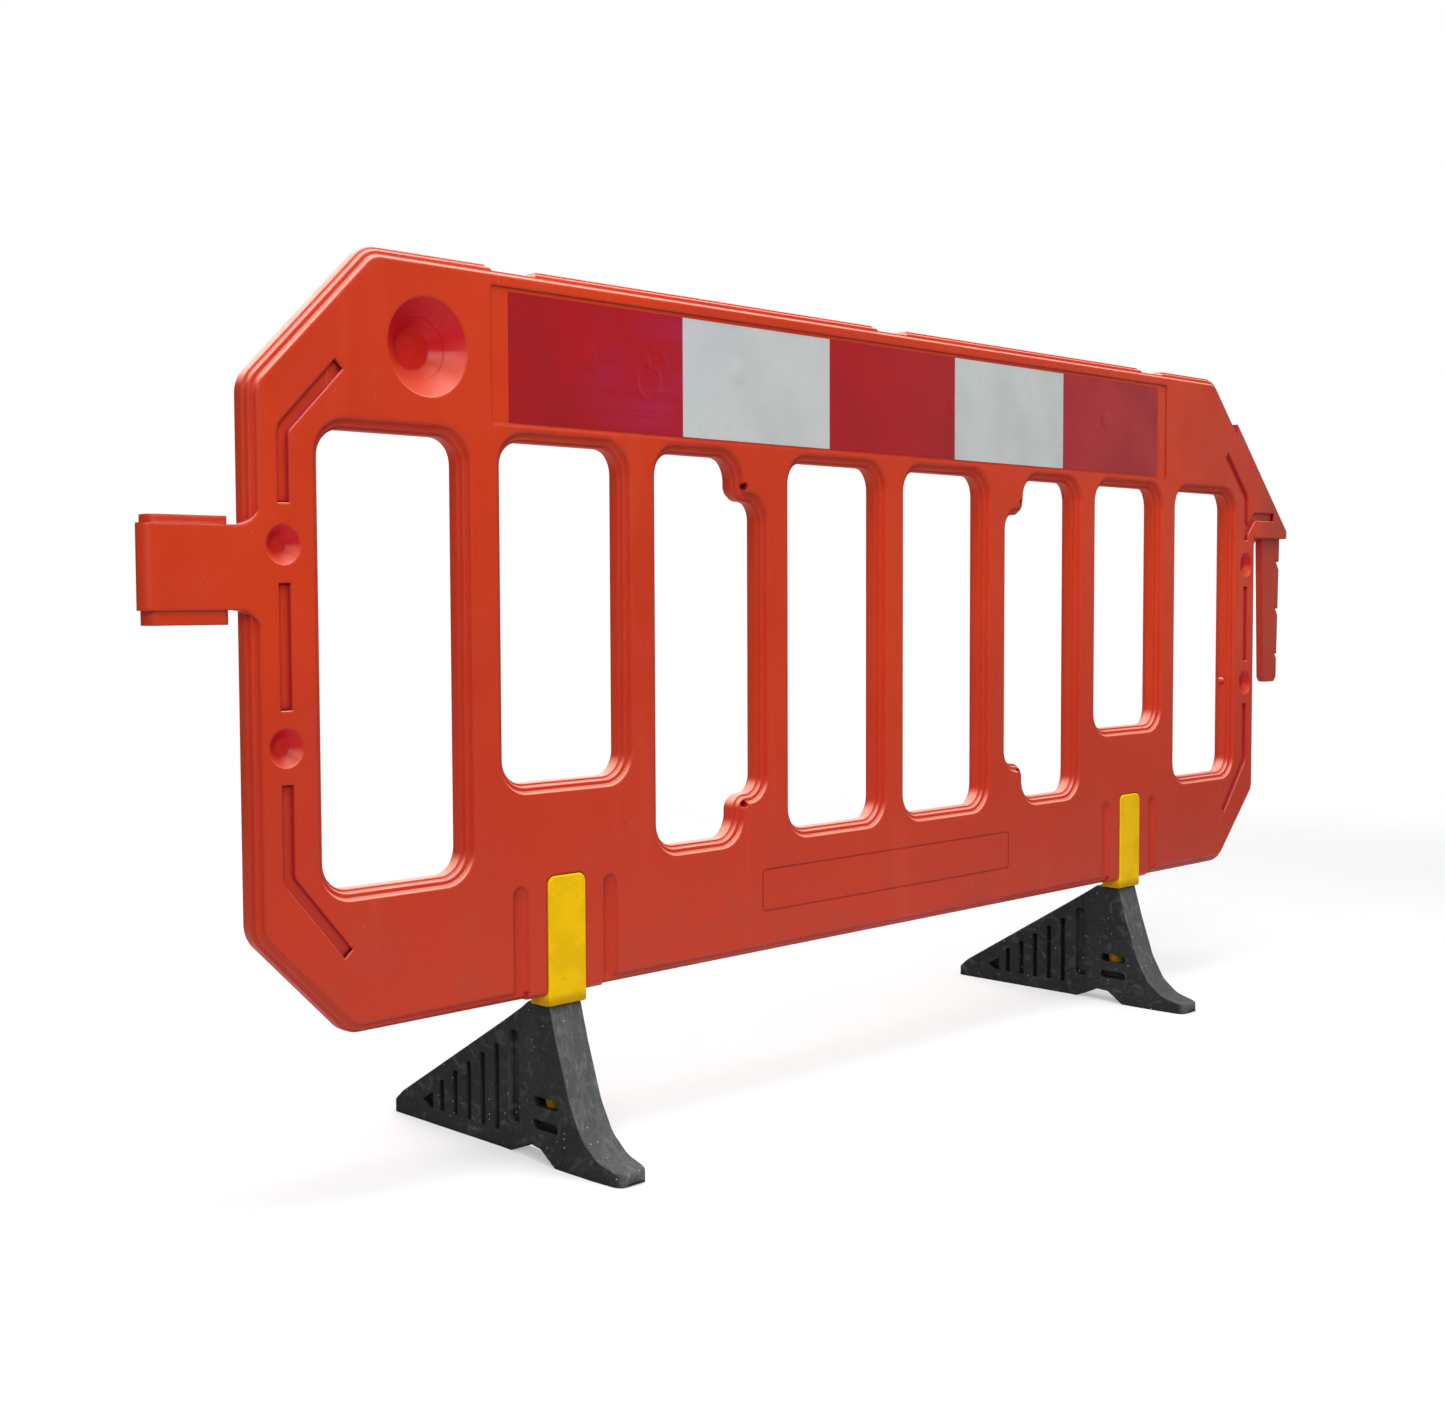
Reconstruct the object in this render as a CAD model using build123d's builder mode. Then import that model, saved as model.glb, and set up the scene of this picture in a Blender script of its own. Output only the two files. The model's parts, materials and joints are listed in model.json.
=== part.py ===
"""Crowd control barrier: a hollow moulded panel on two swivelling rubber feet.

Millimetres, +Z up, ground at Z = 0. The panel lies in the XZ plane; its front
face looks towards -Y. The origin is the middle of the whole barrier's footprint.
"""

import os

from build123d import *

# ---- overall layout -------------------------------------------------------
PANEL_X = 4.0  # panel centre line, from the origin
PANEL_Y = -86.0  # panel mid-plane, from the origin
FOOT_Y = -74.0  # reference line of the feet, from the origin
HALF_W = 992.0  # panel half width at the mid-plane
TOP_Z = 1000.0  # top of the panel
BOTTOM_Z = 196.0  # underside of the panel
HALF_T = 18.0  # half thickness of the panel
WALL = 3.5  # wall of the hollow moulding
TOP_CUT = 145.0  # corner cuts at the top
LOW_CUT = 112.0  # corner cuts at the bottom
CORNER_R = 34.0  # rounding of the outline's corners

# ---- the stepped rim round the outline and round every opening -----------
# (inset from the mid-plane outline, depth from the mid-plane, rounding)
RIM = ((0.0, 7.0, 1.5), (3.5, 12.5, 2.2), (10.0, HALF_T, 3.0))

# ---- the eight openings ---------------------------------------------------
PITCH = 234.0
OPEN_W = 176.0
OPEN_R = 28.0
OPEN_TOP = 812.0
OUTER_LOW = 346.0  # the outer and the inner openings
OVER_FOOT = 437.0  # the openings over the feet
LUG_W = 44.0
LUG_H = 52.0
LUG_TIP_R = 19.0
LUG_ROOT_R = 22.0
SIGN_X = 293.0  # sign fixing holes, half spacing
SIGN_HIGH = 778.0
SIGN_LOW = 386.0
SIGN_R = 4.5

# ---- lamp recess, grooves and dimples -------------------------------------
LAMP_X = -775.0
LAMP_Z = 903.0
LAMP_R = 52.0
LAMP_FLOOR_R = 22.0
LAMP_D = 30.0  # deep enough to touch the back wall inside
GROOVE_X = 953.0
GROOVE_W = 13.0
GROOVE_D = 5.0
DIMPLE_R = 20.0
DIMPLE_FLOOR_R = 9.0
DIMPLE_D = 11.0
DIMPLE_Z = (695.0, 495.0)

# ---- reflective band ------------------------------------------------------
BAND_HALF = 691.0
BAND_LOW = 829.0
BAND_HIGH = 977.0
BAND_D = 1.6
FILM_LEN = 266.4
FILM_LOW = 832.0
FILM_HIGH = 972.0
FILM_T = 0.4
NOTCH_X = (-655.0, 0.0, 655.0)
NOTCH_W = 60.0
NOTCH_D = 7.0

# ---- linking loop (left end) and hook (right end) -------------------------
LOOP_END = 1104.0
LOOP_LOW = 631.0
LOOP_HIGH = 713.0
LOOP_PLATE = 16.0
SOCKET = (-1097.0, -1011.0)
SOCKET_Y = (-16.0, 12.0)
SOCKET_Z = (617.0, 721.0)
EYE_WALL = 5.0
ARM_END = 1096.0
ARM_LOW = 741.0
ARM_SUM = 1850.0  # the arm's top runs on along the corner cut: x + z = ARM_SUM
GUSSET_R = 22.0
BLADE = (1032.0, 1088.0)
BLADE_Y = (-8.0, 4.0)
BLADE_LOW = 492.0
BLADE_NOTCHES = (693.0, 610.0, 530.0)

# ---- name-plate outline and blowing-hole plug -----------------------------
PLATE_AT = (0.0, 275.0)
PLATE_SIZE = (528.0, 54.0)
PLATE_LINE = 1.8
PLATE_D = 0.7
PLUG_X = 907.0
PLUG_Z = 499.0
PLUG_R = 4.0

# ---- feet -----------------------------------------------------------------
FOOT_X = 590.0
POST_Y = -9.0  # swivel axis, from the feet's reference line
POST_R = 11.0
POST_LOW = 60.0
BARB_R = 13.0
BARB_Z = (65.0, 75.0)
BORE_GAP = 0.4
PRONG_W = 56.0
PRONG_T = 8.0
PRONG_TOP = 331.0
PRONG_OUT = 20.0  # outer face of the prong, from the mid-plane
SEAT_LOW = 184.0  # underside of the seat that stands on the rubber
SEAT_BACK = 15.0  # back edge of the seat, from the mid-plane
SADDLE_HIGH = 204.0  # top of the web let into the panel's underside
RECESS_GAP = 1.0
BOSS_HALF = 56.0
CHANNEL_X = 67.0
CHANNEL_R = 12.0
CHANNEL_D = 7.0
CHANNEL_TOP = 326.0
FOOT_TOP = 183.6
TOE_Y = -142.0
HEEL_Y = 290.0
FOOT_ROUND = 3.0

os.makedirs("parts", exist_ok=True)

# Drawing plane of the panel: x along the panel, y up, normal towards the front.
FRONT = Plane(origin=(PANEL_X, PANEL_Y, 0), x_dir=(1, 0, 0), z_dir=(0, -1, 0))


def front_at(depth):
    """The panel's drawing plane, moved towards the front by depth."""
    return FRONT.offset(depth)


def outline(inset):
    """The panel's eight-sided outline, inset evenly."""
    with BuildSketch() as sk:
        with BuildLine():
            Polyline(
                (-HALF_W, BOTTOM_Z + LOW_CUT),
                (-HALF_W, TOP_Z - TOP_CUT),
                (-HALF_W + TOP_CUT, TOP_Z),
                (HALF_W - TOP_CUT, TOP_Z),
                (HALF_W, TOP_Z - TOP_CUT),
                (HALF_W, BOTTOM_Z + LOW_CUT),
                (HALF_W - LOW_CUT, BOTTOM_Z),
                (-HALF_W + LOW_CUT, BOTTOM_Z),
                close=True,
            )
        make_face()
        fillet(sk.vertices(), CORNER_R)
        if inset:
            offset(amount=-inset)
    return sk.sketch


def opening(number, grow):
    """Opening 1 to 8 from the left, grown evenly; 3 and 6 have lugs in two corners."""
    cx = (number - 4.5) * PITCH
    low = (OVER_FOOT if number in (2, 7) else OUTER_LOW) - grow
    top = OPEN_TOP + grow
    half = OPEN_W / 2 + grow
    r = OPEN_R + grow
    corners = [(-half, top, r), (half, top, r), (half, low, r), (-half, low, r)]
    if number in (3, 6):
        tip = half - LUG_W
        tip_r = LUG_TIP_R - grow
        root_r = LUG_ROOT_R + grow
        corners[1:3] = [
            (tip, top, r),
            (tip, top - LUG_H, tip_r),
            (half, top - LUG_H, root_r),
            (half, low + LUG_H, root_r),
            (tip, low + LUG_H, tip_r),
            (tip, low, r),
        ]
    side = -1 if number == 6 else 1
    with BuildSketch() as sk:
        with BuildLine():
            FilletPolyline(
                *[(cx + side * x, z) for x, z, _ in corners],
                radius=[radius for _, _, radius in corners],
                close=True,
            )
        make_face()
    return sk.sketch


def pierced_outline(inset):
    """The outline with the eight openings cut out, inset evenly."""
    with BuildSketch() as sk:
        add(outline(inset))
        for n in range(1, 9):
            add(opening(n, inset), mode=Mode.SUBTRACT)
    return sk.sketch


def rim_edges(part, depth):
    """The edges that lie flat at a depth in front of or behind the mid-plane."""
    return [
        e
        for e in part.edges()
        if all(abs(abs((e @ u).Y - PANEL_Y) - depth) < 0.01 for u in (0, 0.3, 0.6, 1))
    ]


def stiffening_grooves():
    """Centre lines of the stiffening grooves on both stiles and on the hook's arm."""
    lines = []
    for side in (-1, 1):
        x = side * GROOVE_X
        lines.append([(side * 886, 876), (x, 808), (x, 736)])
        lines.append([(x, 657), (x, 532)])
        lines.append([(x, 458), (x, 363), (side * 884, 281)])
    lines.append([(GROOVE_X, 748), (982, 777), (1050, 777)])
    return lines


def dents(grow):
    """The lamp recess, dimples and grooves, grown by a wall for the hollow."""
    dimples = [
        (end * (GROOVE_X + 1), z, DIMPLE_FLOOR_R, DIMPLE_R, DIMPLE_D) for end in (-1, 1) for z in DIMPLE_Z
    ]
    lamp = (LAMP_X, LAMP_Z, LAMP_FLOOR_R, LAMP_R, LAMP_D)
    with BuildPart() as cut:
        for side, cups in ((1, [lamp] + dimples), (-1, dimples)):
            turn = (90, 0, 0) if side == 1 else (-90, 0, 0)
            for x, z, floor_r, mouth_r, depth in cups:
                y = PANEL_Y - side * (HALF_T - depth - grow)
                with Locations(Location((PANEL_X + x, y, z), turn)):
                    Cone(
                        floor_r + grow,
                        mouth_r + 4 * (mouth_r - floor_r) / depth + grow,
                        depth + grow + 4,
                        align=(Align.CENTER, Align.CENTER, Align.MIN),
                    )
            with BuildSketch(front_at(side * (HALF_T - GROOVE_D - grow))):
                for points in stiffening_grooves():
                    with BuildLine():
                        if len(points) == 2:
                            Line(*points)
                        else:
                            FilletPolyline(*points, radius=14)
                    trace(line_width=GROOVE_W + 2 * grow)
            extrude(amount=side * (GROOVE_D + 8))
    return cut.part


def foot_channels(grow):
    """Round-bottomed channels beside each foot bracket, open at the underside."""
    with BuildPart() as cut:
        for x in (-FOOT_X - CHANNEL_X, -FOOT_X + CHANNEL_X, FOOT_X - CHANNEL_X, FOOT_X + CHANNEL_X):
            for side in (-1, 1):
                y = PANEL_Y + side * (HALF_T + CHANNEL_R - CHANNEL_D)
                top = CHANNEL_TOP - CHANNEL_R
                with Locations((PANEL_X + x, y, top)):
                    Sphere(CHANNEL_R + grow)
                    Cylinder(
                        CHANNEL_R + grow, top - 150, align=(Align.CENTER, Align.CENTER, Align.MAX)
                    )
    return cut.part


def foot_slots(grow):
    """Recesses for the prongs and the web of both foot brackets."""
    half = PRONG_W / 2 + RECESS_GAP + grow
    floor = PRONG_OUT - PRONG_T - grow
    with BuildPart() as cut:
        for foot in (-1, 1):
            for side in (-1, 1):
                with BuildSketch(front_at(side * floor)):
                    with Locations((foot * FOOT_X, PRONG_TOP + RECESS_GAP + grow)):
                        Rectangle(2 * half, 190, align=(Align.CENTER, Align.MAX))
                        fillet(vertices().group_by(Axis.Y)[-1], 11 + grow)
                extrude(amount=side * 20)
            with BuildSketch(FRONT):
                with Locations((foot * FOOT_X, SADDLE_HIGH + grow)):
                    Rectangle(2 * half, 40, align=(Align.CENTER, Align.MAX))
            extrude(amount=floor + 1, both=True)
    return cut.part


def sign_points():
    """The four sign fixing holes, in the panel's drawing plane."""
    return [(x, z) for x in (-SIGN_X, SIGN_X) for z in (SIGN_LOW, SIGN_HIGH)]


def hollow():
    """The space inside the moulding: the body less a wall, less every dent's wall."""
    with BuildPart() as space:
        for inset, depth, _ in RIM[1:]:
            with BuildSketch(FRONT):
                add(pierced_outline(inset + WALL))
            extrude(amount=depth - WALL, both=True)
        with BuildSketch(FRONT):
            with BuildLine():
                Polyline(
                    (930, ARM_SUM - 936),
                    (ARM_END - 12, ARM_SUM - ARM_END + 6),
                    (ARM_END - 12, ARM_LOW + 5),
                    (985, ARM_LOW + 5),
                    (930, 807),
                    close=True,
                )
            make_face()
        extrude(amount=HALF_T - WALL, both=True)
        add(dents(WALL), mode=Mode.SUBTRACT)
        add(foot_channels(WALL), mode=Mode.SUBTRACT)
        add(foot_slots(WALL), mode=Mode.SUBTRACT)
        with BuildSketch(FRONT):
            for x in NOTCH_X:
                with Locations((x, TOP_Z)):
                    Rectangle(NOTCH_W + 12, 2 * (NOTCH_D + WALL))
            with Locations(*sign_points()):
                Circle(SIGN_R + WALL)
        extrude(amount=HALF_T, both=True, mode=Mode.SUBTRACT)
    return space.part


# ---- barrier_panel: hollow moulding with its linking loop and hook --------
with BuildPart() as barrier_panel:
    for inset, depth, _ in RIM:
        with BuildSketch(FRONT):
            add(pierced_outline(inset))
        extrude(amount=depth, both=True)
    for _, depth, radius in RIM:
        fillet(rim_edges(barrier_panel, depth), radius)

    # full-depth bosses at the underside, where the foot brackets sit
    for foot in (-1, 1):
        with BuildSketch(FRONT):
            with Locations((foot * FOOT_X, BOTTOM_Z)):
                Rectangle(2 * BOSS_HALF, 34, align=(Align.CENTER, Align.MIN))
        extrude(amount=HALF_T, both=True)
    boss_low = [
        e
        for e in barrier_panel.edges().filter_by(Axis.X)
        if abs(abs(e.center().Y - PANEL_Y) - HALF_T) < 0.01 and abs(e.center().Z - BOTTOM_Z) < 0.01
    ]
    chamfer(boss_low, 5)

    # hook: an arm that runs on along the corner cut, a gusset and the blade below
    with BuildSketch(FRONT):
        with BuildLine():
            Polyline(
                (920, ARM_SUM - 920),
                (ARM_END, ARM_SUM - ARM_END),
                (ARM_END, ARM_LOW),
                (970, ARM_LOW),
                (920, 800),
                close=True,
            )
        make_face()
        fillet([v for v in vertices() if v.X > ARM_END - 1], 5)
    extrude(amount=HALF_T, both=True)
    with BuildSketch(FRONT):
        right = HALF_W + GUSSET_R
        low = ARM_LOW - GUSSET_R
        Polygon((970, ARM_LOW + 4), (right, ARM_LOW + 4), (right, low), (970, low), align=None)
        with Locations((right, low)):
            Circle(GUSSET_R, mode=Mode.SUBTRACT)
    extrude(amount=HALF_T - 8, both=True)
    with BuildSketch(front_at(-BLADE_Y[0])):
        with BuildLine():
            Polyline(
                (BLADE[0] - 6, ARM_LOW + 10),
                (BLADE[1] + 2, ARM_LOW + 10),
                (BLADE[1] - 6, BLADE_LOW + 8),
                (BLADE[1] - 14, BLADE_LOW),
                (BLADE[0] + 12, BLADE_LOW),
                (BLADE[0] + 4, BLADE_LOW + 8),
                close=True,
            )
        make_face()
    extrude(amount=BLADE_Y[0] - BLADE_Y[1])
    for z in BLADE_NOTCHES:
        with BuildSketch(front_at(-BLADE_Y[0] + 1)):
            Polygon((BLADE[1] + 6, z + 6), (BLADE[1] - 14, z + 14), (BLADE[1] + 6, z - 14), align=None)
        extrude(amount=-7, mode=Mode.SUBTRACT)

    # loop: a plate flush with the front face, and the upright socket behind it
    with BuildSketch(front_at(HALF_T - LOOP_PLATE)):
        with Locations(((-LOOP_END - 960) / 2, (LOOP_LOW + LOOP_HIGH) / 2)):
            Rectangle(LOOP_END - 960, LOOP_HIGH - LOOP_LOW)
        with Locations((-969, (LOOP_LOW + LOOP_HIGH) / 2)):
            Rectangle(18, 170)
        roots = [v for v in vertices() if abs(v.X + 978) < 0.01 and LOOP_LOW - 1 < v.Y < LOOP_HIGH + 1]
        fillet(roots, 27)
    extrude(amount=LOOP_PLATE)
    with BuildSketch(Plane(origin=(PANEL_X, PANEL_Y, SOCKET_Z[0]))):
        with Locations((sum(SOCKET) / 2, sum(SOCKET_Y) / 2)):
            RectangleRounded(SOCKET[1] - SOCKET[0], SOCKET_Y[1] - SOCKET_Y[0], 11)
    extrude(amount=SOCKET_Z[1] - SOCKET_Z[0])
    loop_end = [
        e
        for e in barrier_panel.edges().filter_by(Axis.Z)
        if abs(e.center().X - PANEL_X + LOOP_END) < 0.01 and e.center().Y < PANEL_Y - HALF_T + 1
    ]
    fillet(loop_end, 12)
    with BuildSketch(Plane(origin=(PANEL_X, PANEL_Y, SOCKET_Z[0] - 5))):
        with Locations((sum(SOCKET) / 2, sum(SOCKET_Y) / 2)):
            RectangleRounded(
                SOCKET[1] - SOCKET[0] - 2 * EYE_WALL, SOCKET_Y[1] - SOCKET_Y[0] - 2 * EYE_WALL, 6
            )
    extrude(amount=SOCKET_Z[1] - SOCKET_Z[0] + 10, mode=Mode.SUBTRACT)

    # pressed-in features, their mouths rounded
    add(dents(0), mode=Mode.SUBTRACT)
    mouths = [
        e
        for e in barrier_panel.edges(Select.LAST)
        if all(abs(abs((e @ u).Y - PANEL_Y) - HALF_T) < 0.01 for u in (0, 0.3, 0.6, 1))
    ]
    fillet(mouths, 1.5)
    add(foot_channels(0), mode=Mode.SUBTRACT)
    add(foot_slots(0), mode=Mode.SUBTRACT)

    # reflective band recesses, dips in the top rim, name-plate outline
    for side in (-1, 1):
        with BuildSketch(front_at(side * (HALF_T - BAND_D))):
            with Locations((0, (BAND_LOW + BAND_HIGH) / 2)):
                RectangleRounded(2 * BAND_HALF, BAND_HIGH - BAND_LOW, 4)
        extrude(amount=side * 8, mode=Mode.SUBTRACT)
    with BuildSketch(FRONT):
        for x in NOTCH_X:
            half = NOTCH_W / 2
            low = TOP_Z - NOTCH_D
            Polygon(
                (x - half, low),
                (x + half, low),
                (x + half + 9, TOP_Z + 2),
                (x - half - 9, TOP_Z + 2),
                align=None,
            )
    extrude(amount=HALF_T + 1, both=True, mode=Mode.SUBTRACT)
    with BuildSketch(front_at(HALF_T - PLATE_D)):
        with Locations(PLATE_AT):
            RectangleRounded(*PLATE_SIZE, 7)
            RectangleRounded(
                PLATE_SIZE[0] - 2 * PLATE_LINE, PLATE_SIZE[1] - 2 * PLATE_LINE, 5.2, mode=Mode.SUBTRACT
            )
    extrude(amount=5, mode=Mode.SUBTRACT)

    # the hollow inside, sleeves for the sign fixings, and the blowing hole
    add(hollow(), mode=Mode.SUBTRACT)
    with BuildSketch(FRONT):
        with Locations(*sign_points()):
            Circle(SIGN_R)
    extrude(amount=HALF_T + 5, both=True, mode=Mode.SUBTRACT)
    with BuildSketch(Plane(origin=(PANEL_X + PLUG_X - 3, PANEL_Y, PLUG_Z), z_dir=(1, 0, 0))):
        Circle(PLUG_R)
    extrude(amount=16, mode=Mode.SUBTRACT)
barrier_panel.part.label = "barrier_panel"
export_step(barrier_panel.part, "parts/barrier_panel.step")

# ---- blow_hole_plug: domed plug that closes the blowing hole --------------
with BuildPart() as blow_hole_plug:
    with BuildSketch(Plane(origin=(PANEL_X + PLUG_X, PANEL_Y, PLUG_Z), z_dir=(-1, 0, 0))):
        Circle(PLUG_R + 1.4)
    extrude(amount=5)
    fillet(blow_hole_plug.edges().sort_by(Axis.X)[0], 4)
    with BuildSketch(Plane(origin=(PANEL_X + PLUG_X, PANEL_Y, PLUG_Z), z_dir=(1, 0, 0))):
        Circle(PLUG_R - 0.05)
    extrude(amount=9)
blow_hole_plug.part.label = "blow_hole_plug"
export_step(blow_hole_plug.part, "parts/blow_hole_plug.step")


# ---- reflective films: five lengths on each face --------------------------
def film(index, side):
    """Film length 0 to 4 from the left, on the front (side 1) or the back (-1)."""
    with BuildPart() as strip:
        with BuildSketch(front_at(side * (HALF_T - BAND_D))):
            with Locations(((index - 2) * FILM_LEN, (FILM_LOW + FILM_HIGH) / 2)):
                Rectangle(FILM_LEN, FILM_HIGH - FILM_LOW)
        extrude(amount=side * FILM_T)
    return strip


FILM_NAMES = ("red_left", "white_left", "red_middle", "white_right", "red_right")
for side, face in ((1, "front"), (-1, "back")):
    for index, colour in enumerate(FILM_NAMES):
        strip = film(index, side)
        strip.part.label = f"{face}_film_{colour}"
        export_step(strip.part, f"parts/{face}_film_{colour}.step")


# ---- foot_bracket: yellow saddle over the panel's rim, with the swivel post
def foot_bracket(foot):
    """A two-pronged saddle with a seat and a barbed post below it."""
    x0 = PANEL_X + foot * FOOT_X
    with BuildPart() as bracket:
        for side, low in ((1, SEAT_LOW), (-1, BOTTOM_Z)):
            with BuildSketch(front_at(side * (PRONG_OUT - PRONG_T))):
                with Locations((foot * FOOT_X, (PRONG_TOP + low) / 2)):
                    Rectangle(PRONG_W, PRONG_TOP - low)
                    fillet(vertices().group_by(Axis.Y)[-1], 10)
                    fillet(vertices().group_by(Axis.Y)[0], 3)
            extrude(amount=side * PRONG_T)
        outer = [
            e
            for e in bracket.edges()
            if all(abs(abs((e @ u).Y - PANEL_Y) - PRONG_OUT) < 0.01 for u in (0, 0.5, 1))
        ]
        fillet(outer, 2.5)
        with BuildSketch(FRONT):
            with Locations((foot * FOOT_X, BOTTOM_Z)):
                Rectangle(PRONG_W, SADDLE_HIGH - BOTTOM_Z, align=(Align.CENTER, Align.MIN))
        extrude(amount=PRONG_OUT - PRONG_T, both=True)
        with BuildSketch(Plane(origin=(x0, PANEL_Y, SEAT_LOW))):
            with Locations((0, SEAT_BACK)):
                Rectangle(PRONG_W, SEAT_BACK + PRONG_OUT - 4, align=(Align.CENTER, Align.MAX))
                fillet(vertices().group_by(Axis.Y)[-1], 5)
        extrude(amount=BOTTOM_Z - SEAT_LOW)
        with BuildSketch(Plane(origin=(x0, FOOT_Y + POST_Y, POST_LOW))):
            Circle(POST_R)
        extrude(amount=BOTTOM_Z - POST_LOW)
        with BuildSketch(Plane(origin=(x0, FOOT_Y + POST_Y, BARB_Z[0]))):
            Circle(BARB_R - 1.5)
        extrude(amount=BARB_Z[1] - BARB_Z[0], taper=-8.5)
        chamfer(bracket.edges().sort_by(Axis.Z)[0], 2)
    return bracket


# ---- rubber_foot: toe ramp, column with the post's bore, gusset at the back
def side_profile(foot):
    """The foot seen from the side, as a slab wider than the foot."""
    plane = Plane(origin=(PANEL_X + foot * FOOT_X, FOOT_Y, 0), x_dir=(0, 1, 0), z_dir=(1, 0, 0))
    points = [
        (-27, FOOT_TOP, 2),
        (16, FOOT_TOP, 12),
        (272, 29, 10),
        (HEEL_Y, 14, 3),
        (HEEL_Y, 0, 3),
        (56, 0, 2),
        (16, 18, 12),
        (-8, 18, 8),
        (-34, 0, 4),
        (TOE_Y + 3, 0, 3),
        (TOE_Y, 5, 3),
        (TOE_Y, 14, 5),
        (-128, 17, 16),
        (-104, 23, 40),
        (-80, 42, 40),
        (-61, 76, 70),
        (-40, 138, 90),
    ]
    with BuildPart() as slab:
        with BuildSketch(plane):
            with BuildLine():
                FilletPolyline(
                    *[(y, z) for y, z, _ in points], radius=[r for _, _, r in points], close=True
                )
            make_face()
        extrude(amount=40, both=True)
    return slab.part


def rubber_foot(foot):
    """Plan shape cut to the side profile, then bored, slotted and rounded."""
    x0 = PANEL_X + foot * FOOT_X
    half_plan = [(24, -4, 40), (15, 34, 40), (12.5, 70, 60), (11, HEEL_Y, 7)]
    half_plan = half_plan + [(-x, y, r) for x, y, r in reversed(half_plan)]
    plan = half_plan + [(-24, -96, 30), (-21, TOE_Y, 16), (21, TOE_Y, 16), (24, -96, 30)]
    with BuildPart() as body:
        with BuildSketch(Plane(origin=(x0, FOOT_Y, 0))):
            with BuildLine():
                FilletPolyline(*[(x, y) for x, y, _ in plan], radius=[r for _, _, r in plan], close=True)
            make_face()
        extrude(amount=200)
        add(side_profile(foot), mode=Mode.INTERSECT)
        rims = body.edges().filter_by(Axis.Z, reverse=True)
        fillet(rims.filter_by(lambda e: e.center().Z > 20), FOOT_ROUND)
        plane = Plane(origin=(x0, FOOT_Y, 0), x_dir=(0, 1, 0), z_dir=(1, 0, 0))
        for side in (-1, 1):
            with BuildSketch(plane.offset(side * 3.0)):
                for i in range(5):
                    with Locations((83 + 26.7 * i, (18 + 122 - 16 * i) / 2)):
                        RectangleRounded(9, 104 - 16 * i, 2)
                Polygon((207, 20), (216, 18), (229, 27), (208, 40), align=None)
            extrude(amount=side * 30, mode=Mode.SUBTRACT)
            with BuildSketch(plane.offset(side * 5.0)):
                with Locations((50, 88)):
                    RectangleRounded(22, 110, 8)
            extrude(amount=side * 30, mode=Mode.SUBTRACT)
            with BuildSketch(plane.offset(side * 14.0)):
                with Locations((-16, 44)):
                    RectangleRounded(46, 12, 5.5)
            extrude(amount=side * 30, mode=Mode.SUBTRACT)
        with BuildSketch(plane):
            with Locations((-16, 70.5)):
                RectangleRounded(46, 13, 6)
        extrude(amount=40, both=True, mode=Mode.SUBTRACT)
        with BuildSketch(Plane(origin=(x0, FOOT_Y + POST_Y, POST_LOW - 4))):
            Circle(POST_R + BORE_GAP)
        extrude(amount=200, mode=Mode.SUBTRACT)
        with BuildSketch(Plane(origin=(x0, FOOT_Y + POST_Y, BARB_Z[0] - 3))):
            Circle(BARB_R + 0.8)
        extrude(amount=BARB_Z[1] - BARB_Z[0] + 5, mode=Mode.SUBTRACT)
    return body


for foot, name in ((-1, "left"), (1, "right")):
    bracket = foot_bracket(foot)
    bracket.part.label = f"foot_bracket_{name}"
    export_step(bracket.part, f"parts/foot_bracket_{name}.step")
    rubber = rubber_foot(foot)
    rubber.part.label = f"rubber_foot_{name}"
    export_step(rubber.part, f"parts/rubber_foot_{name}.step")
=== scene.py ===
"""Looks for the crowd control barrier: camera, studio, and the five finishes."""

import json
import math

import bpy
from mathutils import Matrix, Vector

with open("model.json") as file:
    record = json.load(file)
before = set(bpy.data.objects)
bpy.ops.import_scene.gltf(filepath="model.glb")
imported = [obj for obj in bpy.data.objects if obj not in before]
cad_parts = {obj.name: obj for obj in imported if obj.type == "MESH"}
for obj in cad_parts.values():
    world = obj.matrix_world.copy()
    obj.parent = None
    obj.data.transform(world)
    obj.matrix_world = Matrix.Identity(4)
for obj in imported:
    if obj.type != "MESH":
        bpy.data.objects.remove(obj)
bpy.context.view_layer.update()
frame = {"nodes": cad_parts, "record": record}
nodes = frame["nodes"]
scene = bpy.context.scene

# ---- camera ---------------------------------------------------------------
EYE = (-1.9331, -1.6393, 0.6359)
YAW = math.radians(43.936)  # turned from +Y towards +X
PITCH = math.radians(3.019)  # looking down
ROLL = math.radians(-0.327)
LENS = 45.414
SHIFT = (0.0502, -0.0025)
forward = Vector((math.sin(YAW) * math.cos(PITCH), math.cos(YAW) * math.cos(PITCH), -math.sin(PITCH)))
level = Vector((math.cos(YAW), -math.sin(YAW), 0.0))
right = math.cos(ROLL) * level + math.sin(ROLL) * level.cross(forward)
up = right.cross(forward)
camera = bpy.data.objects.new("camera", bpy.data.cameras.new("camera"))
scene.collection.objects.link(camera)
turn = Matrix((right, up, -forward)).transposed().to_4x4()
camera.matrix_world = Matrix.Translation(EYE) @ turn
camera.data.lens = LENS
camera.data.shift_x, camera.data.shift_y = SHIFT
camera.data.clip_start = 0.05
scene.camera = camera
scene.view_settings.view_transform = "Standard"


# ---- studio ---------------------------------------------------------------
def softbox(name, place, target, size, watts):
    """A rectangular white lamp at place, turned towards target."""
    data = bpy.data.lights.new(name, "AREA")
    data.shape = "RECTANGLE"
    data.size, data.size_y = size
    data.energy = watts
    lamp = bpy.data.objects.new(name, data)
    lamp.location = place
    lamp.rotation_euler = (Vector(target) - Vector(place)).to_track_quat("-Z", "Y").to_euler()
    scene.collection.objects.link(lamp)


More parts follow.
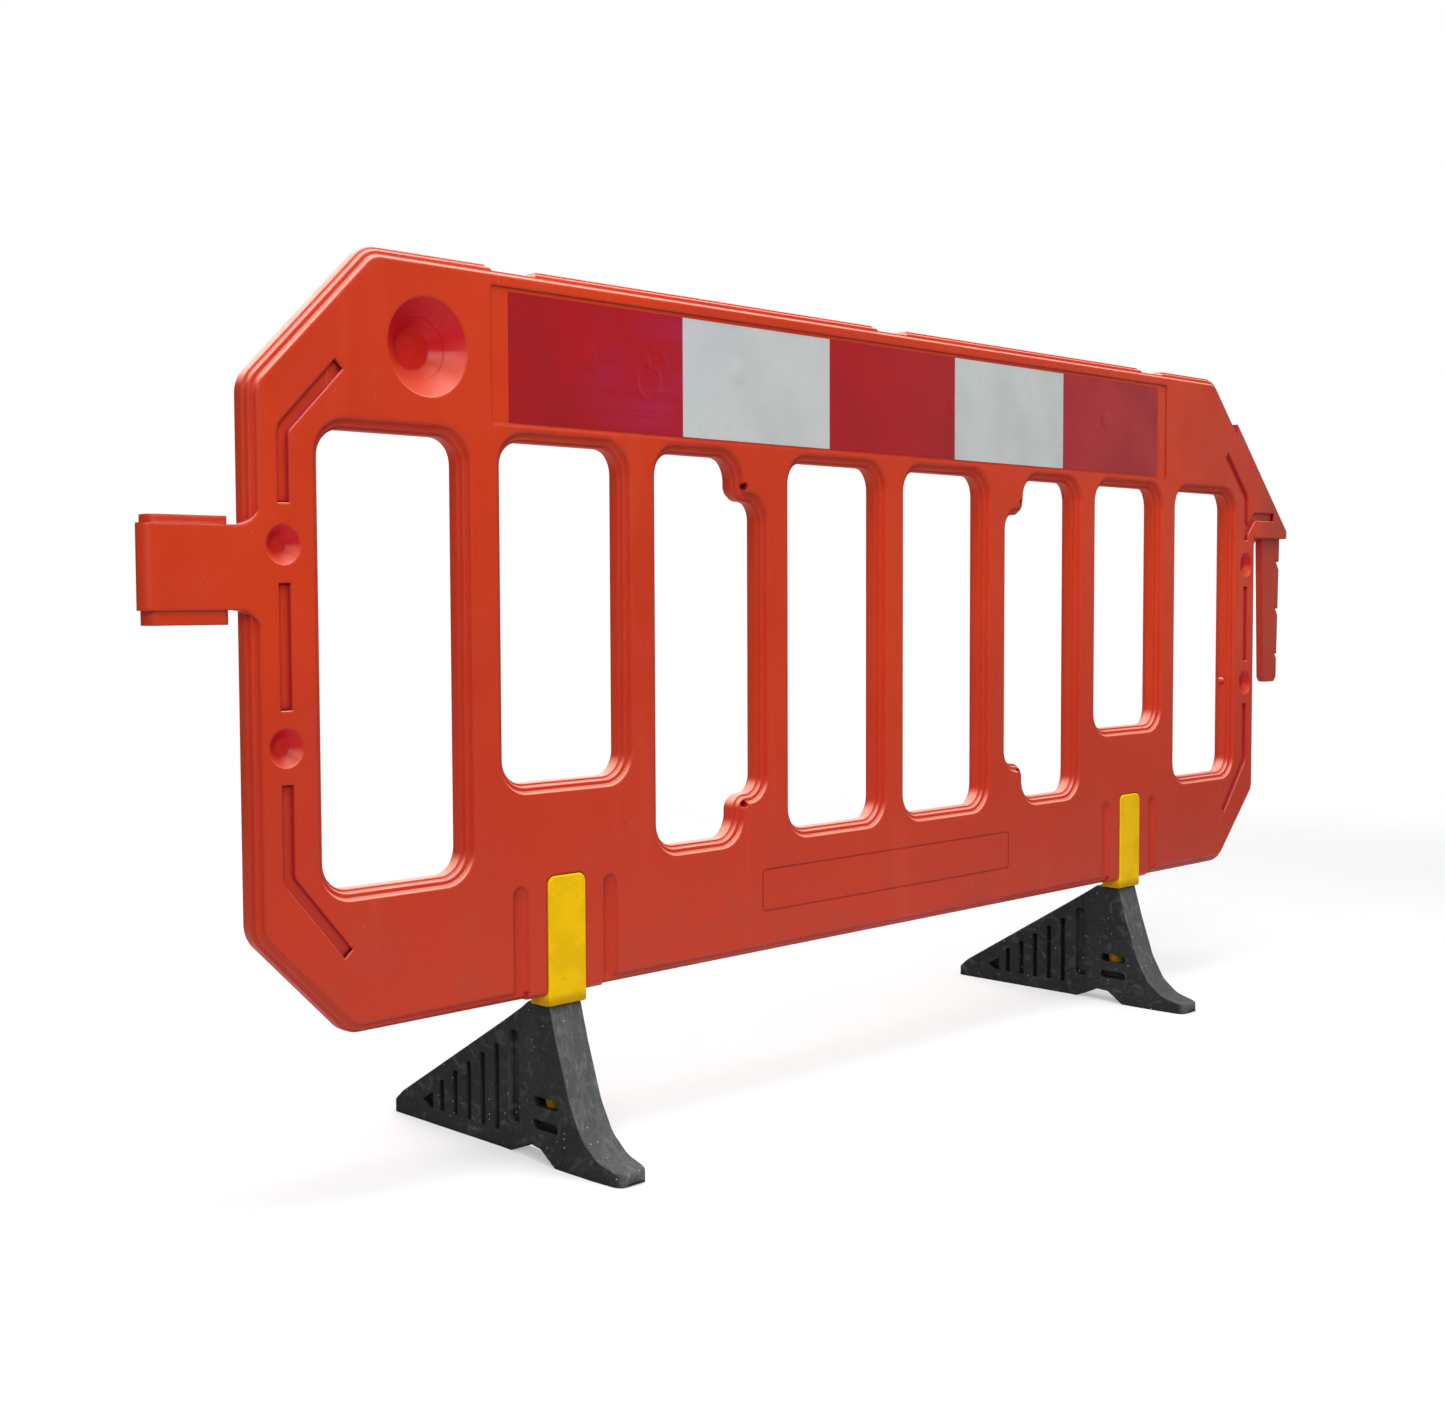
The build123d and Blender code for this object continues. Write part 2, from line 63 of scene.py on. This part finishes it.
softbox("overhead", (-0.4, -0.7, 3.3), (0.0, 0.0, 0.5), (3.8, 2.2), 138)
softbox("key", (-3.4, -3.0, 2.5), (-0.4, 0.0, 0.6), (1.6, 1.6), 88)
softbox("far_wall", (4.6, -2.1, 1.3), (0.6, 0.0, 0.6), (2.2, 2.2), 7)
softbox("behind", (1.2, 3.4, 2.5), (0.0, 0.0, 0.6), (5.0, 2.4), 105)

# The camera sees a white backdrop; the barrier itself gets a much dimmer one.
AMBIENT = 0.11
BACKDROP = 1.0
world = bpy.data.worlds.new("studio")
scene.world = world
world.use_nodes = True
sky = world.node_tree
sky.nodes.clear()
sky_out = sky.nodes.new("ShaderNodeOutputWorld")
sky_mix = sky.nodes.new("ShaderNodeMixShader")
sky_path = sky.nodes.new("ShaderNodeLightPath")
for socket, strength in ((1, AMBIENT), (2, BACKDROP)):
    sky_light = sky.nodes.new("ShaderNodeBackground")
    sky_light.inputs["Color"].default_value = (1.0, 1.0, 1.0, 1.0)
    sky_light.inputs["Strength"].default_value = strength
    sky.links.new(sky_light.outputs[0], sky_mix.inputs[socket])
sky.links.new(sky_path.outputs["Is Camera Ray"], sky_mix.inputs[0])
sky.links.new(sky_mix.outputs[0], sky_out.inputs[0])


# ---- node building --------------------------------------------------------
class Finish:
    """A Principled material with the object's own coordinates, in metres."""

    def __init__(self, name, roughness, **uniform):
        self.material = bpy.data.materials.new(name)
        self.material.use_nodes = True
        self.tree = self.material.node_tree
        self.shader = self.tree.nodes["Principled BSDF"]
        self.shader.inputs["Roughness"].default_value = roughness
        for socket, value in uniform.items():
            self.shader.inputs[socket.replace("_", " ")].default_value = value
        self.place = self.tree.nodes.new("ShaderNodeTexCoord").outputs["Object"]
        self.normal = None

    def feed(self, socket, value):
        """Link a socket to an output, or set it to a plain value."""
        if isinstance(value, bpy.types.NodeSocket):
            self.tree.links.new(value, socket)
        else:
            socket.default_value = value

    def maths(self, operation, *values):
        """A Math node on outputs or plain numbers."""
        node = self.tree.nodes.new("ShaderNodeMath")
        node.operation = operation
        for socket, value in zip(node.inputs, values):
            self.feed(socket, value)
        return node.outputs[0]

    def stretch(self, scale):
        """The object's coordinates, scaled by axis."""
        node = self.tree.nodes.new("ShaderNodeMapping")
        self.feed(node.inputs["Vector"], self.place)
        node.inputs["Scale"].default_value = scale
        return node.outputs[0]

    def axes(self):
        """X, Y and Z of the object's coordinates."""
        node = self.tree.nodes.new("ShaderNodeSeparateXYZ")
        self.feed(node.inputs[0], self.place)
        return node.outputs

    def facing(self):
        """X, Y and Z of the surface's normal."""
        geometry = self.tree.nodes.new("ShaderNodeNewGeometry")
        node = self.tree.nodes.new("ShaderNodeSeparateXYZ")
        self.feed(node.inputs[0], geometry.outputs["Normal"])
        return node.outputs

    def noise(self, scale, detail=2.0, vector=None, twist=0.0, roughness=0.5):
        """Soft noise around 0.5."""
        node = self.tree.nodes.new("ShaderNodeTexNoise")
        self.feed(node.inputs["Vector"], vector or self.place)
        node.inputs["Scale"].default_value = scale
        node.inputs["Detail"].default_value = detail
        node.inputs["Distortion"].default_value = twist
        node.inputs["Roughness"].default_value = roughness
        return node.outputs["Fac"]

    def cells(self, scale, feature="F1", output="Distance", vector=None):
        """An output of a pattern of irregular cells."""
        node = self.tree.nodes.new("ShaderNodeTexVoronoi")
        node.feature = feature
        self.feed(node.inputs["Vector"], vector or self.place)
        node.inputs["Scale"].default_value = scale
        return node.outputs[output]

    def cell_tones(self, scale):
        """Three random values, each the same all over a cell."""
        node = self.tree.nodes.new("ShaderNodeSeparateColor")
        self.feed(node.inputs[0], self.cells(scale, output="Color"))
        return node.outputs

    def crevice(self, distance):
        """1 in the open, towards 0 where faces meet within distance."""
        node = self.tree.nodes.new("ShaderNodeAmbientOcclusion")
        node.samples = 6
        node.inputs["Distance"].default_value = distance
        return node.outputs["AO"]

    def span(self, value, low, high, start=0.0, end=1.0):
        """A smooth step of value from start at low to end at high."""
        node = self.tree.nodes.new("ShaderNodeMapRange")
        node.interpolation_type = "SMOOTHSTEP"
        self.feed(node.inputs["Value"], value)
        limits = {"From Min": low, "From Max": high, "To Min": start, "To Max": end}
        for socket, number in limits.items():
            node.inputs[socket].default_value = number
        return node.outputs["Result"]

    def mix(self, share, first, second):
        """A colour between two colours, by share."""
        node = self.tree.nodes.new("ShaderNodeMix")
        node.data_type = "RGBA"
        self.feed(node.inputs["Factor"], share)
        for socket, value in ((node.inputs[6], first), (node.inputs[7], second)):
            self.feed(socket, value if isinstance(value, bpy.types.NodeSocket) else (*value, 1.0))
        return node.outputs[2]

    def both(self, first, second):
        """The product of two values, for masks that apply together."""
        return self.maths("MULTIPLY", first, second)

    def distance(self, x, z, squeeze=1.0):
        """Distance from a point of the panel's face, in the XZ plane."""
        px, _, pz = self.axes()
        across = self.maths("MULTIPLY", self.maths("SUBTRACT", px, x), squeeze)
        rise = self.maths("SUBTRACT", pz, z)
        squares = self.maths("ADD", self.maths("POWER", across, 2.0), self.maths("POWER", rise, 2.0))
        return self.maths("SQRT", squares)

    def ring(self, x, z, radius, width, squeeze=1.0):
        """1 on a circle on the panel's face, 0 away from it."""
        off = self.maths("ABSOLUTE", self.maths("SUBTRACT", self.distance(x, z, squeeze), radius))
        return self.span(off, width, 0.0)

    def bump(self, height, depth, strength):
        """Add a bump of depth metres over the normals so far."""
        node = self.tree.nodes.new("ShaderNodeBump")
        node.inputs["Distance"].default_value = depth
        node.inputs["Strength"].default_value = strength
        self.feed(node.inputs["Height"], height)
        if self.normal:
            self.feed(node.inputs["Normal"], self.normal)
        self.normal = node.outputs[0]

    def soften(self, radius):
        """Round the sharp edges in the shading only."""
        node = self.tree.nodes.new("ShaderNodeBevel")
        node.samples = 4
        node.inputs["Radius"].default_value = radius
        self.normal = node.outputs[0]

    def done(self, colour, roughness):
        """Link up the shader and return the material."""
        self.feed(self.shader.inputs["Base Color"], colour)
        self.feed(self.shader.inputs["Roughness"], roughness)
        if self.normal:
            self.feed(self.shader.inputs["Normal"], self.normal)
        return self.material


# ---- places on the barrier, in metres -------------------------------------
PANEL_X = 0.004
PANEL_Y = -0.086  # the panel's mid-plane
HALF_T = 0.018  # half the panel's thickness
LAMP = (PANEL_X - 0.775, 0.903)
LAMP_R = 0.052
LAMP_RING_R = 0.0065
DIMPLES = [(PANEL_X + side * 0.954, z) for side in (-1, 1) for z in (0.695, 0.495)]
DIMPLE_R = 0.020
HOOK_X = 1.00  # the duller orange of the hook starts here
SEAT_SHADE = (0.199, 0.188)  # between these heights the yellow darkens downwards
# blisters in the film: x, z, radius
BLISTERS = ((-0.545, 0.912, 0.017), (-0.300, 0.915, 0.020), (0.135, 0.905, 0.017), (0.520, 0.912, 0.018))


# ---- moulded orange polyethylene ------------------------------------------
def orange_plastic():
    f = Finish("orange_plastic", 0.4, Specular_IOR_Level=0.34)
    x, y, z = f.axes()
    _, _, nz = f.facing()
    off_middle = f.maths("ABSOLUTE", f.maths("SUBTRACT", y, PANEL_Y))
    cloud = f.noise(2.2, 3.0)
    blotch = f.noise(17.0, 4.0)
    grain = f.noise(850.0, 2.0)
    shade = f.crevice(0.045)

    # base colour; painted shade makes it darker low down, and it is darker on the hook
    colour = f.mix(f.span(cloud, 0.35, 0.65), (0.630, 0.041, 0.006), (0.555, 0.035, 0.008))
    colour = f.mix(f.span(grain, 0.35, 0.70, 0.0, 0.16), colour, (0.76, 0.085, 0.025))
    colour = f.mix(f.span(z, 0.60, 0.24, 0.0, 0.45), colour, (0.500, 0.026, 0.010))
    colour = f.mix(f.span(x, HOOK_X, HOOK_X + 0.04, 0.0, 0.60), colour, (0.400, 0.036, 0.018))

    # painted highlight on the upward-facing edges outside the cups; painted shade in crimson in corners and
    # in the cups
    inside = f.span(f.distance(*LAMP), LAMP_R + 0.001, LAMP_R - 0.002)
    for dimple in DIMPLES:
        cup = f.span(f.distance(*dimple), DIMPLE_R + 0.001, DIMPLE_R - 0.002)
        inside = f.maths("MAXIMUM", inside, cup)
    sunk = f.maths("LESS_THAN", off_middle, HALF_T - 0.0005)
    # painted highlight: paler on upward-facing surfaces, kept out of crevices and cups
    pale = f.both(f.span(nz, 0.15, 0.65, 0.0, 0.90), f.span(shade, 0.70, 0.92))
    pale = f.both(pale, f.maths("SUBTRACT", 1.0, f.both(inside, 0.92)))
    colour = f.mix(pale, colour, (1.000, 0.400, 0.300))
    # painted shade: crimson where faces meet, at a wide and a narrow reach
    colour = f.mix(f.span(shade, 0.76, 0.30, 0.0, 0.90), colour, (0.470, 0.006, 0.020))
    colour = f.mix(f.span(f.crevice(0.013), 0.88, 0.45, 0.0, 0.75), colour, (0.400, 0.004, 0.018))
    # painted shade: deep crimson on the downward-facing walls inside the sunk cups
    painted_cup_shade = f.both(f.both(inside, sunk), f.span(nz, 0.35, -0.25, 0.0, 0.95))
    colour = f.mix(painted_cup_shade, colour, (0.620, 0.000, 0.010))

    # flow marks, dust near the ground and fine scratches
    flow = f.noise(1.0, 3.0, f.stretch((26.0, 26.0, 3.0)), 0.6)
    colour = f.mix(f.span(flow, 0.56, 0.72, 0.0, 0.14), colour, (0.70, 0.085, 0.035))
    dust = f.both(f.span(z, 0.42, 0.20, 0.0, 0.25), f.span(blotch, 0.42, 0.70))
    colour = f.mix(dust, colour, (0.40, 0.070, 0.040))
    nick = f.noise(1.0, 2.0, f.stretch((240.0, 240.0, 26.0)), 1.4)
    scratch = f.both(f.span(nick, 0.725, 0.76), f.span(blotch, 0.50, 0.62))
    colour = f.mix(f.both(scratch, 0.45), colour, (0.83, 0.26, 0.16))

    # softened edges, uneven walls, mould seam, ring in the lamp recess, grain
    f.soften(0.0045)
    f.bump(f.noise(7.5, 2.0), 0.0016, 0.35)
    f.bump(f.span(off_middle, 0.0009, 0.0002), 0.0004, 0.8)
    f.bump(f.both(f.ring(*LAMP, LAMP_RING_R, 0.0016), sunk), 0.0005, 0.7)
    f.bump(grain, 0.00022, 0.55)
    return f.done(colour, f.maths("ADD", f.span(blotch, 0.3, 0.7, 0.33, 0.45), f.both(dust, 0.25)))


# ---- retroreflective film -------------------------------------------------
def film(name, pale, dark, painted_sheen, painted_sheen_share):
    """Film in one colour, with a painted reflection: a tinted sheen patch near where it has lifted."""
    f = Finish(name, 0.3, Specular_IOR_Level=0.35, Coat_Weight=0.15, Coat_Roughness=0.2)
    cloud = f.noise(9.0, 4.0)
    grain = f.noise(1300.0, 2.0)
    colour = f.mix(f.span(cloud, 0.35, 0.68), pale, dark)
    glint = tuple(min(1.0, c * 1.35 + 0.01) for c in pale)
    colour = f.mix(f.span(grain, 0.40, 0.75, 0.0, 0.22), colour, glint)
    streak = f.noise(1.0, 3.0, f.stretch((5.0, 5.0, 190.0)), 0.3)
    # painted reflection: a streaked patch of tinted sheen on the left film
    patch = f.both(f.span(f.distance(-0.43, 0.905, 0.8), 0.14, 0.02), f.span(cloud, 0.30, 0.62))
    gleam = f.both(patch, f.span(streak, 0.30, 0.62, 0.35, 1.0))
    colour = f.mix(f.both(gleam, painted_sheen_share), colour, painted_sheen)
    cell = f.cells(420.0, "DISTANCE_TO_EDGE")
    colour = f.mix(f.span(cell, 0.10, 0.02, 0.0, 0.10), colour, dark)
    f.bump(f.noise(11.0, 3.0), 0.0012, 0.30)
    for x, z, radius in BLISTERS:
        f.bump(f.span(f.distance(x, z), radius, radius * 0.3), 0.0011, 0.7)
    large = f.ring(-0.452, 0.893, 0.021, 0.006, 1.15)
    small = f.ring(-0.440, 0.918, 0.011, 0.005, 0.7)
    wrinkle = f.both(f.maths("ADD", large, small), f.span(f.noise(60.0, 2.0), 0.30, 0.55))
    f.bump(wrinkle, 0.0009, 0.6)
    f.bump(streak, 0.0003, 0.30)
    f.bump(grain, 0.00010, 0.35)
    return f.done(colour, f.span(cloud, 0.3, 0.7, 0.27, 0.38))


# ---- yellow moulded plastic -----------------------------------------------
def yellow_plastic():
    f = Finish("yellow_plastic", 0.5, Specular_IOR_Level=0.10)
    blotch = f.noise(34.0, 4.0)
    grain = f.noise(900.0, 2.0)
    colour = f.mix(f.span(blotch, 0.35, 0.68), (0.93, 0.560, 0.000), (0.84, 0.490, 0.000))
    # painted shade: dark brown where faces meet
    colour = f.mix(f.span(f.crevice(0.012), 0.75, 0.25, 0.0, 0.75), colour, (0.30, 0.155, 0.008))
    colour = f.mix(f.span(f.axes()[2], *SEAT_SHADE, 0.0, 0.60), colour, (0.36, 0.170, 0.000))
    scuff = f.noise(1.0, 3.0, f.stretch((90.0, 90.0, 320.0)), 1.0)
    colour = f.mix(f.span(scuff, 0.64, 0.72, 0.0, 0.30), colour, (0.42, 0.30, 0.06))
    f.bump(grain, 0.00016, 0.45)
    f.bump(blotch, 0.0003, 0.30)
    return f.done(colour, f.span(blotch, 0.3, 0.7, 0.44, 0.58))


# ---- recycled crumb rubber ------------------------------------------------
def recycled_rubber():
    f = Finish("recycled_rubber", 0.8, Specular_IOR_Level=0.32)
    _, ny, nz = f.facing()
    tone = f.cell_tones(480.0)
    cloud = f.noise(12.0, 5.0, roughness=0.6)
    grain = f.noise(620.0, 3.0)
    colour = f.mix(f.span(tone[0], 0.1, 1.0), (0.008, 0.009, 0.010), (0.019, 0.020, 0.022))
    colour = f.mix(f.span(cloud, 0.40, 0.66, 0.0, 0.40), colour, (0.040, 0.042, 0.044))
    ramp = f.maths("MAXIMUM", f.span(ny, -0.25, -0.75), f.span(nz, 0.35, 0.85))
    worm = f.cells(95.0, "DISTANCE_TO_EDGE", vector=f.stretch((1.0, 1.0, 0.45)))
    lines = f.both(f.span(worm, 0.16, 0.03), f.span(f.noise(26.0, 2.0), 0.38, 0.58))
    # painted highlight: the up- and front-facing faces lighter grey
    colour = f.mix(f.both(ramp, 0.55), colour, (0.125, 0.130, 0.134))
    colour = f.mix(f.both(f.both(lines, ramp), 0.20), colour, (0.20, 0.205, 0.21))
    scuff = f.noise(1.0, 6.0, f.stretch((70.0, 24.0, 34.0)), 1.8, 0.68)
    dusty = f.both(f.span(scuff, 0.50, 0.74), f.maths("ADD", f.both(ramp, 0.50), 0.30))
    colour = f.mix(dusty, colour, (0.21, 0.21, 0.21))
    # painted shade: near black where faces meet
    colour = f.mix(f.span(f.crevice(0.02), 0.72, 0.30, 0.0, 0.95), colour, (0.003, 0.003, 0.004))
    fleck = f.both(f.span(f.cells(170.0), 0.17, 0.11), f.span(f.cell_tones(170.0)[1], 0.86, 0.90))
    colour = f.mix(f.both(fleck, 0.8), colour, (0.55, 0.56, 0.56))
    f.bump(cloud, 0.0015, 0.45)
    f.bump(tone[1], 0.0003, 0.50)
    f.bump(grain, 0.00035, 0.60)
    return f.done(colour, f.span(cloud, 0.3, 0.7, 0.62, 0.86))


# ---- finishes onto the barrier's pieces -----------------------------------
finishes = {
    "orange_plastic": orange_plastic(),
    # films: pale and dark tones, then the tint and share of their painted reflection
    "red_film": film("red_film", (0.400, 0.008, 0.012), (0.320, 0.007, 0.011), (0.44, 0.016, 0.075), 0.8),
    "white_film": film("white_film", (0.555, 0.577, 0.570), (0.485, 0.507, 0.503), (0.62, 0.60, 0.74), 0.5),
    "yellow_plastic": yellow_plastic(),
    "recycled_rubber": recycled_rubber(),
}
for part in frame["record"]["subparts"]:
    piece = nodes[part["node"]]
    piece.data.materials.clear()
    piece.data.materials.append(finishes[part["material_slot"]])

# ---- floor ----------------------------------------------------------------
FLOOR_R = 8.0
FADE = (3.6, 1.7)  # clear beyond the first distance, full strength within the second
FULL_ALPHA = 0.6
floor_mesh = bpy.data.meshes.new("floor")
turns = [math.radians(a) for a in range(0, 360, 6)]
rim = [(FLOOR_R * math.cos(a), FLOOR_R * math.sin(a), 0.0) for a in turns]
floor_mesh.from_pydata(rim, [], [tuple(range(len(rim)))])
floor = bpy.data.objects.new("floor", floor_mesh)
scene.collection.objects.link(floor)
paint = Finish("floor", 0.9, Specular_IOR_Level=0.1)
pale = paint.mix(paint.span(paint.noise(3.0, 3.0), 0.3, 0.7), (0.93, 0.93, 0.93), (0.91, 0.91, 0.91))
reach = paint.tree.nodes.new("ShaderNodeVectorMath")
reach.operation = "LENGTH"
paint.feed(reach.inputs[0], paint.place)
paint.feed(paint.shader.inputs["Alpha"], paint.span(reach.outputs["Value"], *FADE, 0.0, FULL_ALPHA))
floor_mesh.materials.append(paint.done(pale, 0.9))
